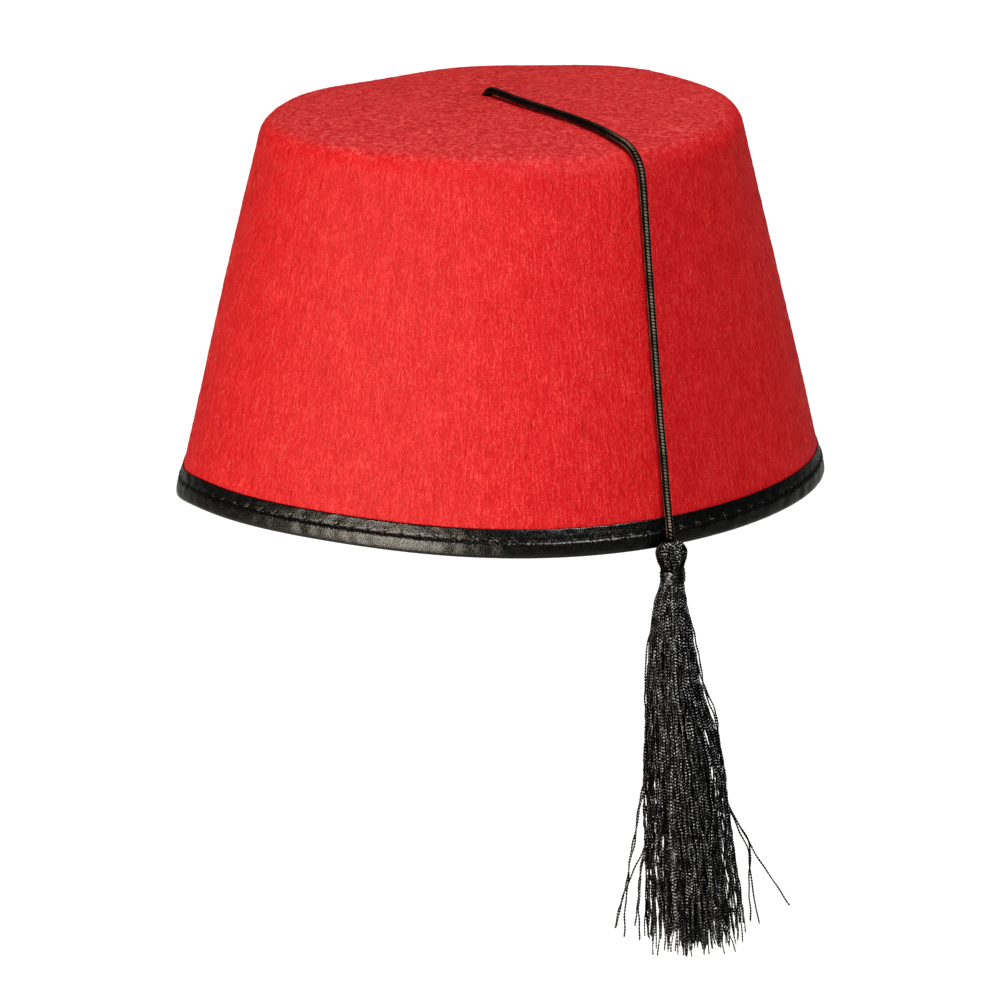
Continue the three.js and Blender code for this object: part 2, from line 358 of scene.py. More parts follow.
def makeCamera(settings):
    turn, lift, roll = (math.radians(settings[key]) for key in ("azimuth", "elevation", "roll"))
    back = np.array([math.sin(turn) * math.cos(lift), -math.cos(turn) * math.cos(lift), math.sin(lift)])
    level = np.array([math.cos(turn), math.sin(turn), 0])
    right = math.cos(roll) * level + math.sin(roll) * np.cross(back, level)
    aim = np.array(settings["aim"])
    place = aim + settings["distance"] * back
    middle = aim - settings["aimAcross"] * right - settings["aimDown"] * np.cross(back, right)
    back = unit(place - middle)
    right = unit(right - right.dot(back) * back)
    camera = bpy.data.objects.new("camera", bpy.data.cameras.new("camera"))
    camera.data.lens, camera.data.sensor_width = settings["lens"], settings["sensor"]
    camera.data.clip_start, camera.data.clip_end = 0.1, 100
    matrix = np.eye(4)
    matrix[:3] = np.stack([right, np.cross(back, right), back, place * mm], 1)
    camera.matrix_world = Matrix(matrix.tolist())
    bpy.context.scene.collection.objects.link(camera)
    bpy.context.scene.camera = camera


makeCamera(view)
print("camera set")


# The felt's shape, as the CAD has it

cap = {
    "cornerHeight": 111.6, "edgeRadius": 7, "domeRise": 5.3, "wall": 2, "hem": 1.3,
    "rim": {"mean": 92.5, "oval": 0.02, "egg": 0.03, "corner": 0.02, "back": 0},
    "crown": {"mean": 69.9, "oval": 0.02, "egg": 0.03, "corner": 0, "back": 1.6},
    "apex": (-4.9, -5.1, 116.4), "cordHeading": 28.4, "cordTurn": 117.7,
    "columns": 400, "outerRows": (52, 14, 34), "innerRows": (22, 8, 16),
    # half the length and half the width of the eyelet and its shift, at the outer and the inner face. Its
    # edge is rounded, by a share of the lip at each depth.
    "outerEyelet": (2.5, 1.5, 1.5), "innerEyelet": (2.1, 1.5, 0.2), "lip": 0.5,
    "throat": [(0.05, 0.5), (0.17, 0.2), (0.5, 0), (1, 0), (1.5, 0), (1.83, 0.2), (1.95, 0.5)],
    # how uneven the felt is, and within what angle of the cord it is even
    "unevenness": 0.3, "evenAngle": 0.25, "fibreStretch": 6, "seed": 4,
    # places along the profile go from 0 at the rim to 1 at the eyelet: the shares of side, edge and crown,
    # and where and over how much the side's fibres give way to the crown's
    "sideShare": 0.6, "edgeShare": 0.1, "crownShare": 0.3, "crownFrom": (0.61, 0.08),
    # pinches of the rim, from lying flat: turn, half width as an angle, how far out and how far down
    "pinches": [(0, 0.55, 1.2, 0), (0, 0.18, 0, 2.3), (math.pi, 0.55, 1.05, 0)],
}
domeSlope = math.atan2(2 * cap["domeRise"], cap["crown"]["mean"])


def planPoints(plan, turn):
    # radius = mean·(1 + oval·cos 2t + egg·cos 3t + corner·cos 4t), from the front towards the left
    waves = {"oval": 2, "egg": 3, "corner": 4}
    radius = plan["mean"] * (1 + sum(plan[form] * np.cos(count * turn) for form, count in waves.items()))
    return np.stack([radius * np.sin(turn), plan["back"] - radius * np.cos(turn)], -1)


def planNormals(plan, turn):
    # level and square to the outline, outwards
    step = 0.001
    along = planPoints(plan, turn + step) - planPoints(plan, turn - step)
    return unit(np.stack([along[..., 1], -along[..., 0]], -1))


def turnsAlong(plan, share):
    # turns at shares of an outline's length, and that length
    turn = np.linspace(0, fullTurn, 4001)
    length = lengthsAlong(planPoints(plan, turn))
    return np.interp(share * length[-1], length, turn), length[-1]


def sideLeans(turn):
    # the side's angle from upright, by its two outlines and its height
    reach = np.linalg.norm(planPoints(cap["rim"], turn) - planPoints(cap["crown"], turn), axis=-1)
    return np.arctan2(reach, cap["cornerHeight"])


def withHeight(flat, height):
    # points of a plan, raised to a height
    return np.concatenate([flat, np.broadcast_to(height, flat.shape[:-1])[..., None]], -1)


def pinched(turn):
    # how far out and how far down the pinches draw the rim at a turn, each by a bell around its own turn
    near = [bell(turnFrom(middle, turn), width) for middle, width, _, _ in cap["pinches"]]
    return [sum(pinch[k] * share for pinch, share in zip(cap["pinches"], near)) for k in (2, 3)]


def sidePoints(turn, up, out):
    # on the straight line from the rim's outline to the crown's, moved out from the felt's face and pinched
    far, drop = pinched(turn)
    low = 1 - up / cap["cornerHeight"]
    out, up = out + far * low, up - drop * low
    share = np.asarray(up / cap["cornerHeight"])[..., None]
    flat = planPoints(cap["rim"], turn) * (1 - share) + planPoints(cap["crown"], turn) * share
    return withHeight(flat + planNormals(cap["rim"], turn) * np.asarray(out)[..., None], up)


def edgePoints(turn, share, depth):
    # an arc between the side's lean and the crown's slope, at a depth below the outer face
    lean = sideLeans(turn)
    last = math.pi / 2 - domeSlope
    tangent = cap["edgeRadius"] * np.tan((last - lean) / 2)
    middleOut = tangent * np.sin(lean) - cap["edgeRadius"] * np.cos(lean)
    middleUp = cap["cornerHeight"] - tangent * np.cos(lean) - cap["edgeRadius"] * np.sin(lean)
    angle = lean + (last - lean) * share
    out = middleOut + (cap["edgeRadius"] - depth) * np.cos(angle)
    flat = planPoints(cap["crown"], turn) + planNormals(cap["crown"], turn) * out[..., None]
    return withHeight(flat, middleUp + (cap["edgeRadius"] - depth) * np.sin(angle))


def eyeletPoints(towards, depth, halfLength, halfWidth, shift):
    # an oval around the cord, where lines from its middle to points of the crown cross it
    heading = math.radians(cap["cordHeading"])
    along = np.array([math.cos(heading), math.sin(heading)])
    middle = np.array(cap["apex"][:2]) + along * shift
    reach = unit(towards[..., :2] - middle)
    length = 1 / np.hypot(reach @ along / halfLength, reach @ np.array([-along[1], along[0]]) / halfWidth)
    return withHeight(middle + reach * length[..., None], cap["apex"][2] - depth)


def domePoints(turn, share, depth, eyelet):
    # from the edge in to the eyelet, rising by 1 - (1 - share)²
    outer = edgePoints(turn, 1, depth)
    inner = eyeletPoints(outer, depth, *eyelet)
    flat = outer[..., :2] * (1 - share) + inner[..., :2] * share
    return withHeight(flat, outer[..., 2] + (inner[..., 2] - outer[..., 2]) * (1 - (1 - share) ** 2))


def makeFeltCap(material):
    # rings up the outer face, over the edge and the crown, through the eyelet and down the inner face. The
    # felt stands out a little unevenly: three random waves around it, by cosines of the place along the
    # profile.
    random = np.random.default_rng(cap["seed"])
    turn = np.arange(cap["columns"]) * fullTurn / cap["columns"]
    waves = [ringWaver(random, turn, 2, 9, 5) for _ in range(3)]
    awayFromCord = 1 - bell(turn - math.radians(cap["cordTurn"]), cap["evenAngle"])
    sideEnd, edgeLong = cap["sideShare"], cap["edgeShare"]

    def face(depth, counts, eyelet):
        def sunk(place):
            fade = min(1, 5 * place) * min(1, 4 * (1 - place))
            swell = sum(math.cos(math.pi * place * (k + 1)) * wave for k, wave in enumerate(waves))
            return depth - cap["unevenness"] / 2 * fade * awayFromCord * swell

        hem = sidePoints(turn, np.full(turn.shape, cap["hem"]), -depth / np.cos(sideLeans(turn)))
        top = edgePoints(turn, 0, depth)
        wide = (eyelet[0] + cap["lip"], eyelet[1] + cap["lip"], eyelet[2])
        rows = []
        for share in np.linspace(0, 1, counts[0], endpoint=False):
            place = sideEnd * share
            rows.append((hem + (top - hem) * share + edgePoints(turn, 0, sunk(place)) - top, place))
        for share in np.linspace(0, 1, counts[1]):
            place = sideEnd + edgeLong * share
            rows.append((edgePoints(turn, share, sunk(place)), place))
        for share in np.linspace(0, 1, counts[2] + 1)[1:]:
            place = sideEnd + edgeLong + cap["crownShare"] * share
            rows.append((domePoints(turn, share, sunk(place), wide), place))
        return rows

    outer = face(0, cap["outerRows"], cap["outerEyelet"])
    inner = face(cap["wall"], cap["innerRows"], cap["innerEyelet"])
    throat = []
    for depth, spare in cap["throat"]:
        size = [a + (b - a) * depth / cap["wall"] for a, b in zip(cap["outerEyelet"], cap["innerEyelet"])]
        wide = (size[0] + spare * cap["lip"], size[1] + spare * cap["lip"], size[2])
        throat.append((eyeletPoints(outer[-1][0], depth, *wide), 1))
    rings = outer + throat + inner[::-1]
    points = np.stack([ring for ring, _ in rings])
    place = np.array([share for _, share in rings])
    # coordinates for the fibres of the side: a cylinder around it, squeezed along its height
    grain = np.broadcast_to(withHeight(planPoints(cap["rim"], turn), 0), points.shape).copy()
    grain[..., 2] = points[..., 2] / cap["fibreStretch"]
    start, span = cap["crownFrom"]
    crownShare = np.broadcast_to(np.clip((place - start) / span, 0, 1)[:, None], points.shape[:2])
    quads = gridQuads(len(rings), cap["columns"], closeRows=True)
    addPiece("pressed_felt_cap", points, [quads], material,
             {"grain": grain, "crownShare": crownShare}, ["felt_cap"])
    return points[:len(outer)]


fibres = {
    "count": 12500, "long": (0.8, 3.6), "thick": (0.02, 0.075), "lift": (0.01, 0.12), "curl": 0.5,
    "sideSpread": 0.7, "headingSpread": 0.6, "headingMost": 1.5, "aboveRim": 11, "seed": 11,
}


def makeFibres(outer, material):
    # loose hairs on the felt: needles of three sides, bent along the face and lifted in their middle
    random = np.random.default_rng(fibres["seed"])
    count = fibres["count"]
    following = np.roll(outer, -1, 1)
    corners = (outer[:-1], following[:-1], following[1:], outer[1:])
    normal = np.cross(corners[2] - corners[0], corners[3] - corners[1])
    area = np.linalg.norm(normal, axis=-1) * (corners[0][..., 2] > fibres["aboveRim"])
    chosen = random.choice(area.size, count, p=area.ravel() / area.sum())
    a, b = random.uniform(0, 1, (2, count, 1))
    c0, c1, c2, c3 = (corner.reshape(-1, 3)[chosen] for corner in corners)
    start = (c0 * (1 - a) + c1 * a) * (1 - b) + (c3 * (1 - a) + c2 * a) * b
    out = unit(normal.reshape(-1, 3)[chosen])
    upwards = unit(c3 + c2 - c0 - c1)
    sideways = np.cross(upwards, out)
    spread = fibres["sideSpread"] + (math.pi - fibres["sideSpread"]) * np.clip(2 * out[:, 2] - 0.8, 0, 1)
    most = fibres["headingMost"]
    heading = spread * np.clip(random.normal(0, fibres["headingSpread"], count), -most, most)
    steps = np.linspace(-0.5, 0.5, 4)
    bend = heading[:, None] + fibres["curl"] * random.normal(0, 1, (count, 1)) * steps
    reach = random.uniform(*fibres["long"], (count, 1, 1)) * steps[:, None]
    path = start[:, None] + reach * (np.cos(bend)[..., None] * upwards[:, None]
                                     + np.sin(bend)[..., None] * sideways[:, None])
    low, high = fibres["lift"]
    lift = low + (high - low) * random.uniform(0, 1, (count, 1)) ** 3
    height = lift * (1 - random.uniform(0.3, 1.4, (count, 1)) * (1.6 * steps) ** 2) + 0.02
    path = path + height[..., None] * out[:, None]
    across = np.cross(unit(path[:, 3] - path[:, 0]), out)[:, None]
    angle = (fullTurn * np.arange(3) / 3)[:, None]
    thin, thick = fibres["thick"]
    radius = thin + (thick - thin) * random.uniform(0, 1, (count, 1, 1)) ** 3
    ring = radius * (np.cos(angle) * across + np.sin(angle) * out[:, None])
    points = np.concatenate([path[:, :1], path[:, 1:2] + ring, path[:, 2:3] + ring, path[:, 3:]], 1)
    k, n = np.arange(3), (np.arange(3) + 1) % 3
    tips = np.concatenate([np.stack([0 * k, 1 + n, 1 + k], 1), np.stack([7 + 0 * k, 4 + k, 4 + n], 1)])
    body = np.stack([1 + k, 1 + n, 4 + n, 4 + k], 1)
    starts = 8 * np.arange(count)[:, None, None]
    tone = np.broadcast_to(random.uniform(0, 0.9, (count, 1)) ** 1.5, (count, 8))
    addPiece("felt_fibres", points, [(body + starts).reshape(-1, 4), (tips + starts).reshape(-1, 3)],
             material, {"tone": tone})


# The tape around the rim

tape = {
    "stitches": 103, "seam": 5.2,
    # columns of the mesh within a stitch, closer near its hole
    "columnSteps": (0, 0.03, 0.07, 0.12, 0.2, 0.34, 0.5, 0.66, 0.8, 0.88, 0.93, 0.97),
    # the section outside the felt: how far out and how high, from the top edge down to the fold
    "outerSection": [
        (0.32, 8.1), (0.38, 8.36), (0.52, 8.36), (0.6, 8.05), (0.7, 7.4), (0.84, 6.6), (0.96, 5.9),
        (1.0, 5.5), (0.95, 5.24), (1.12, 5.06), (1.45, 4.93), (1.68, 4.6), (1.76, 3.95), (1.7, 3.1),
        (1.62, 2.3), (1.52, 1.5), (1.36, 0.85), (0.95, 0.34), (0.3, 0.06), (-0.6, 0),
    ],
    # and on around the fold, up the inner leg and back down against the felt
    "innerSection": [
        (-0.6, 0), (-1.6, 0.03), (-2.4, 0.24), (-2.9, 0.8), (-3.05, 1.7), (-3.05, 3.2), (-2.95, 5.2),
        (-3.05, 6.4), (-3.02, 7.3), (-2.9, 7.85), (-2.65, 7.95), (-2.46, 7.7), (-2.4, 6.5), (-2.4, 4),
        (-2.36, 1.7), (-2.1, 1.06), (-1, 1), (0, 1.02), (0.28, 1.4), (0.3, 3), (0.3, 5.5), (0.31, 7.6),
    ],
    "outerRows": 42, "innerRows": 14, "dimple": 0.36, "dimpleSize": 0.4,
    "pucker": 0.11, "puckerSize": 0.85, "puckerWidth": 0.32,
    # how far out the outer face starts and the inner one ends, and over how much each fades in
    "outerFrom": 0.35, "innerFrom": -2.6, "fade": 0.3,
    # the middle and half width, as heights, of the roll and of the strip above the seam
    "roll": (2.6, 1.9), "strip": (7, 1.3),
    "puff": 0.1, "ripple": 0.07, "wobble": 0.04, "seed": 21,
    "thinning": 0.52,  # share of its thickness that the tape loses for each millimetre of a pinch
    # the seam's thread: how far out the two faces lie that it shows on, and which way each looks
    "threadFaces": ((1.02, 1), (-3.0, -1)), "threadRadius": 0.13, "threadFlat": 0.75, "threadSteps": 12,
    "threadDive": 0.45, "diveWidth": 0.09, "threadAbove": 0.02, "threadBulge": 0.06, "threadSlant": 0.09,
    "threadTwists": 3, "threadSpan": (0.03, 0.94),  # where in a stitch it starts, and how much of it it spans
}


def makeTape(material, threadMaterial):
    # the folded section carried around the rim. At equal steps a hole pulls it in, with four small ridges
    # around it: hole = dimple·bell(r, dimpleSize) - pucker·bell(r - puckerSize, puckerWidth)·cos 4a. Between
    # holes it swells, and it ripples at random.
    random = np.random.default_rng(tape["seed"])
    count = tape["stitches"]
    stitch = (np.arange(count)[:, None] + np.array(tape["columnSteps"])).ravel()
    turn, around = turnsAlong(cap["rim"], stitch / count)
    section = np.concatenate([smoothLine(tape["outerSection"], tape["outerRows"])[:-1],
                              smoothLine(tape["innerSection"], tape["innerRows"])])
    out, up = (section[:, k][:, None] for k in (0, 1))
    outside = np.clip((out - tape["outerFrom"]) / tape["fade"], 0, 1)
    inside = np.clip((tape["innerFrom"] - out) / tape["fade"], 0, 1)
    along = ((stitch + 0.5) % 1 - 0.5) * around / count
    above = up - tape["seam"]
    reach, angle = np.hypot(along, above), np.arctan2(above, along)
    ridges = tape["pucker"] * bell(reach - tape["puckerSize"], tape["puckerWidth"]) * np.cos(4 * angle)
    hole = tape["dimple"] * bell(reach, tape["dimpleSize"]) - ridges
    rows = [ringWaver(random, turn, 8, 90, 12) for _ in range(4)]
    low, high = (bell(up - middle, width) for middle, width in (tape["roll"], tape["strip"]))
    swell = tape["puff"] * (low + 0.5 * high) * (0.5 - np.cos(fullTurn * stitch) / 2)
    ripple = tape["ripple"] * (low * rows[0] + high * rows[1])
    lift = tape["wobble"] * rows[2] * np.clip((up - 5.5) / 3, 0, 1) + tape["wobble"] * rows[3] * low
    thinner = tape["thinning"] * pinched(turn)[0] * np.maximum(out, 0)
    moved = out - thinner + outside * (swell + ripple - hole) + inside * (hole - 0.5 * swell)
    height = up + lift * (outside + 0.5 * inside)
    points = sidePoints(turn[None], np.maximum(height, 0), moved)
    quads = gridQuads(len(section), len(stitch), closeRows=True)
    addPiece("satin_rim_tape", points, [quads[:, ::-1]], material, None, ["rim_tape"])
    makeStitches(random, threadMaterial)


def makeStitches(random, material):
    # the seam's thread: between two holes it lies in its groove, and at each hole it goes in
    count = tape["stitches"]
    share = np.linspace(0, 1, tape["threadSteps"])
    dive = bell(share, tape["diveWidth"]) + bell(share - 1, tape["diveWidth"])
    first, span = tape["threadSpan"]
    radius = tape["threadRadius"]
    parts = []
    for face, way in tape["threadFaces"]:
        place = np.arange(count)[:, None] + first + span * share
        turns, _ = turnsAlong(cap["rim"], place / count)
        slant = random.normal(0, tape["threadSlant"], (count, 1)) * (share - 0.5)
        thinner = tape["thinning"] * pinched(turns)[0] * max(face, 0)
        above = tape["threadAbove"] + tape["threadBulge"] * np.sin(math.pi * share)
        above = above - tape["threadDive"] * dive
        path = sidePoints(turns, tape["seam"] + slant, face - thinner + way * above)
        twist = fullTurn * place * tape["threadTwists"]
        thread = tubesAlong(path, np.array([0, 0, 1.0]), radius, radius * tape["threadFlat"], twist, 4)
        # painted glints near the two holes of each stitch, where the thread dives, random from stitch to
        # stitch
        wornAndGlint = random.uniform(0, 1, (count, 1)) * (bell(share - 0.12, 0.07) + 0.6 * bell(share - 0.88, 0.06))
        parts.append((*thread, yarnValues(twist / math.pi, wornAndGlint, 4)))
    points, quads, values = joined(parts)
    addPiece("tape_stitches", points, [quads], material, values)


# The cord

cord = {
    "diameter": 2.5, "core": 0.72, "strandRadius": 0.88, "weave": 0.15,
    "strandWidth": 0.35, "strandDepth": 0.19, "carriers": 4, "lead": 3.8, "stepsPerLead": 15,
    # its thickness at its two ends, and how much each ring further in gains, as shares
    "endShare": 0.55, "endGain": 1 / 6,
    # its painted glints are fainter on the crown, where less light catches it, than on the side: between
    # these distances from its end, and by this share
    "crownGlintFade": (62, 84), "crownGlintShare": 0.15,
    # the centreline, from inside the eyelet over the crown and down the left side
    "route": [
        (-4.6, -5, 115), (-4.1, -4.7, 115.9), (-3.2, -4.2, 117), (-2, -3.5, 117.8),
        (-0.5, -2.7, 118.1), (5, 0.2, 118.1), (12.8, 4.6, 117.8), (24.5, 12.8, 117.2),
        (35, 20.4, 116.4), (45.7, 27.1, 115.4), (51, 29.7, 114.9), (55.5, 31.7, 114.4),
        (58.5, 33, 114), (60.6, 34, 113.3), (62.2, 34.9, 112.3), (63.3, 35.6, 110.9),
        (64.2, 36.3, 109.2), (64.8, 36.8, 106.9), (65.4, 37.1, 103.9), (66.6, 37.4, 97.7),
        (69.5, 38, 82.6), (74.9, 39.3, 54.9), (78.8, 40.3, 34.9), (80.4, 40.8, 27.4),
        (82.3, 41.2, 19.5), (84.7, 41.6, 12), (87.2, 41.9, 7.2), (88.6, 42, 5.1),
        (88.8, 42, 3.2),
    ],
}


def braidAlong(line, across, size):
    # a round core, and strands that wind around it both ways, over two and under two of the others:
    # radius = strandRadius ± weave·cos(a quarter turn for each strand crossed), plus one way and minus the
    # other
    fromEnd = np.minimum(np.arange(len(line)), np.arange(len(line))[::-1])
    thickness = size * np.clip(cord["endShare"] + cord["endGain"] * fromEnd, 0, 1)
    length = lengthsAlong(line)
    tangent = unit(np.gradient(line, axis=0))
    side = unit(across - (tangent @ across)[:, None] * tangent)
    square = np.cross(tangent, side)
    index = np.arange(cord["carriers"])[:, None]
    crossed = 2 * cord["carriers"] * length / cord["lead"]
    paths, outward, crests = [], [], []
    for way in (1, -1):
        angle = fullTurn * (way * length / cord["lead"] + index / cord["carriers"])
        wave = way * np.cos(fullTurn * (2 * index + way * crossed - 0.5) / 4)
        radius = (cord["strandRadius"] + cord["weave"] * wave) * thickness
        radial = np.cos(angle)[..., None] * side + np.sin(angle)[..., None] * square
        paths.append(line + radius[..., None] * radial)
        outward.append(radial)
        crests.append((2 * index + way * crossed - 0.5) / 4 + (0 if way > 0 else 0.5))
    wide, deep = cord["strandDepth"] * thickness, cord["strandWidth"] * thickness
    strands = tubesAlong(np.concatenate(paths), np.concatenate(outward), wide, deep, 0, 6)
    core = tubesAlong(line[None], across, cord["core"] * thickness, cord["core"] * thickness, 0, 8)
    # painted glints, fainter on the crown than down the side
    shine = np.interp(length, cord["crownGlintFade"], (cord["crownGlintShare"], 1))
    plain = np.tile((0.5, 0), (len(core[0]), 1))
    return joined([(*strands, yarnValues(np.concatenate(crests), shine, 6)), (*core, plain)])


def makeCord(material):
    steps = int(lengthsAlong(np.array(cord["route"]))[-1] / cord["lead"] * cord["stepsPerLead"])
    heading = math.radians(cap["cordHeading"])
    across = np.array([-math.sin(heading), math.cos(heading), 0])
    points, quads, values = braidAlong(smoothLine(cord["route"], steps), across, 1)
    return addPiece("braided_cord", points, [quads], material, values, ["tassel_cord"])


# The knot inside the crown: a trefoil, (2 + cos 3t) around and sin 3t up, with one end up to the eyelet

knot = {
    "size": 0.95, "height": 1.35, "thickness": 0.82, "below": 4.7, "points": 26, "steps": 130,
    "tail": [(1.2, -1.0, -2.25), (1.6, -1.3, -5)],  # the loose end, from the end of the loops
    "across": (0.2, 0.3, 0.93),  # the way that the braid's first strand looks from the centreline
}


def makeKnot(material):
    t = np.linspace(0.25, fullTurn - 0.35, knot["points"])
    reach = knot["size"] * (2 + np.cos(3 * t))
    x, y, z = cap["apex"]
    middle = z - knot["below"]
    loops = np.stack([x + reach * np.cos(2 * t), y + reach * np.sin(2 * t),
                      middle + knot["height"] * np.sin(3 * t)], -1)
    start = np.array([cord["route"][0]])
    end = loops[-1] + np.array(knot["tail"])
    line = smoothLine(np.concatenate([start, loops, end]), knot["steps"])
    points, quads, values = braidAlong(line, np.array(knot["across"]), knot["thickness"])
    return addPiece("end_knot", points, [quads], material, values, ["cord_knot"])


# The tassel, in its own frame: down its length, x away from the hat and y along the hat's side

tassel = {
    "top": (88.8, 42, 2.7), "lean": 2.6, "thread": 0.6, "ply": 0.52, "pitch": 1.9, "seed": 33,
    # how far down, how wide along the side, how deep
    "headRows": [
        (0, 4.4, 4.0), (0.5, 6.2, 5.0), (1.4, 7.7, 6.1), (3.4, 9.3, 7.3), (5.6, 8.4, 7.2), (8, 6.7, 6.4),
    ],
    "neckRows": [(8.2, 7, 6.8), (10.2, 7.3, 7.1), (12.2, 7, 6.8)],
    "skirtRows": [
        (12.2, 6.6, 6.2), (14.5, 7.4, 6.8), (18, 8.9, 8.0), (24, 10.6, 9.2), (30, 12.4, 10.6),
        (40, 14.6, 12.2), (49, 16.8, 13.8), (57.5, 20.2, 16.4), (66, 22.4, 17.6), (75, 23.6, 18.2),
        (92, 25.2, 19.2), (110, 27, 20.2), (122, 28.6, 21), (130, 29.2, 21.4),
    ],
    # how far along the hat's side the skirt's middle lies, at distances down
    "swayRows": [
        (8, 0), (12, -0.3), (18, -1.1), (30, -1.5), (45, -1.7), (57, -0.9), (75, -0.3), (95, 0), (130, 0),
    ],
    # how far down and how far out the head's threads start beside the cord, and where they end
    "fromCord": [(1.2, 1.3), (0.2, 1.6), (0.1, 2.3)], "toNeck": [(8.8, 3.25)],
    # how many threads, how large a share of the head's outline and how far they slant, for two layers
    "headThreads": [(44, 0.9, 0.12), (58, 0.955, 0.3)], "headSteps": 42,
    "bodySize": 0.84, "bodyFrom": 0.6, "bodyTo": 11.8, "bodyRows": 24,
    # how many turns and how large a share of the neck's outline, for two layers
    "windings": [(8, 0.93), (3.2, 0.99)], "windingThread": 0.55, "stepsPerTurn": 60,
    # the turns of the neck's painted glints and their width, and the mean strength of the threads' painted
    # glints
    "neckGlints": (-18, 75, 160, 250), "glintWidth": 0.3, "shine": 0.58,
    # how many threads, how large a share of the skirt's outline, how far within it, how thick and in how
    # many steps
    "outer": (96, 1.03, 0.1, 0.6, 242), "inner": (92, 0.86, 0.3, 0.6, 242), "core": (70, 0.56, 0.9, 1.1, 60),
    "shortest": 117, "longest": 125, "shortShare": 0.08, "shortBy": (2, 14), "crossing": 0.07,
    "crimp": 0.24, "edgeGap": 0.17, "locks": 6, "lockWaves": (9, 26), "lockReach": (0.1, 0.3),
    # the share of its thickness that a thread has, at distances down
    "squeeze": [(12, 0.55), (20, 0.8), (34, 1.0)],
    # the loose threads
    "strayThread": 0.72, "strayCrimp": 0.22, "straySteps": 242,
}
# loose threads: the side of the skirt where each hangs, and how far down it is how far beyond the others
strays = [
    {"turn": 262, "path": [(66, -1), (72, 0), (92, 3.6), (110, 7.6), (118, 9.6)]},
    {"turn": 254, "path": [(60, -1), (70, 0), (84, 2.6), (104, 6.2), (122, 7.4)]},
    {"turn": 268, "path": [(86, -1), (93, 0.4), (98, 3.2), (106, 6.4), (117, 9.2)]},
    {"turn": 250, "path": [(84, -1), (92, 0), (104, 2.8), (119, 4.2)]},
    {"turn": 275, "path": [(90, -1), (96, 1.2), (108, 2.4), (121, 2.5)]},
    {"turn": 258, "path": [(13, -1), (24, 0.3), (42, 0.8), (60, -0.5), (80, -0.6), (121, -0.4)]},
    {"turn": 92, "path": [(74, -1), (82, 0.4), (94, 5), (103, 9), (115, 15)]},
    {"turn": 86, "path": [(76, -1), (84, 1), (93, 4.8), (103, 4), (112, 3), (118, 2.6)]},
    {"turn": 99, "path": [(78, -1), (86, 1.2), (96, 4.4), (108, 4.6), (120, 5.2)]},
    {"turn": 95, "path": [(15, -1), (26, 0.6), (44, 1.1), (60, 1), (74, -0.6), (119, -0.5)]},
    {"turn": 82, "path": [(30, -1), (38, 0.2), (52, 2.2), (60, 1), (74, 0.2), (118, 0.8)]},
    {"turn": 340, "path": [(56, -1), (66, 0), (90, 3), (119, 4.6)]},
    {"turn": 15, "path": [(70, -1), (78, 0), (96, 3.2), (120, 3.4)]},
    {"turn": 170, "path": [(66, -1), (76, 0), (98, 2.8), (118, 3)]},
    {"turn": 200, "path": [(76, -1), (84, 0), (100, 3.4), (120, 4.4)]},
]


def inTassel(points):
    # from the tassel's frame to the hat's: turned about X by the lean and moved to the cord's end
    lean = math.radians(tassel["lean"])
    x, y, z = np.moveaxis(points, -1, 0)
    sine, cosine = math.sin(lean), math.cos(lean)
    return np.stack([x, y * cosine - z * sine, y * sine + z * cosine], -1) + np.array(tassel["top"])


def halfSizes(rows, down):
    # half the width and half the depth of the tassel at each distance down
    line = smoothLine(rows, 240)
    return [np.interp(down, line[:, 0], line[:, k]) / 2 for k in (1, 2)]


def ovalPoints(angle, share, down, halfWidth, halfDepth):
    # x = share·halfDepth·cos a and y = share·halfWidth·sin a, at each distance down
    across, along = share * halfDepth * np.cos(angle), share * halfWidth * np.sin(angle)
    return np.stack([across, along, -down + 0 * angle], -1)


def twistedThreads(random, paths, across, thickness, shine=None):
    # two plies twisted together, drawn as an oval that turns once in a pitch. Its crests count half turns.
    # Each thread's painted glints are stronger or weaker than others', and stronger in some stretches than in
    # others.
    count, steps = paths.shape[:2]
    pitch = tassel["pitch"] * random.uniform(0.85, 1.15, (count, 1))
    length = np.linalg.norm(np.diff(paths, axis=1), axis=2)
    along = np.concatenate([np.zeros((count, 1)), np.cumsum(length, 1)], 1)
    turns = along / pitch + random.uniform(0, 1, (count, 1))
    wide = thickness / 2 * np.ones((count, steps))
    wide[:, [0, -1]] *= 0.5
    points, quads = tubesAlong(paths, across, wide, wide * tassel["ply"], fullTurn * turns, 4)
    if shine is None:
        shine = random.normal(tassel["shine"], 0.35, (count, 1)) + 0.35 * waver(random, count, along, 16)
    return inTassel(points), quads, yarnValues(2 * turns, np.clip(shine, 0, 1), 4)


def squareTo(angle):
    # the level direction square to the one that an angle points in
    return np.stack([-np.sin(angle), np.cos(angle), 0 * angle], -1)


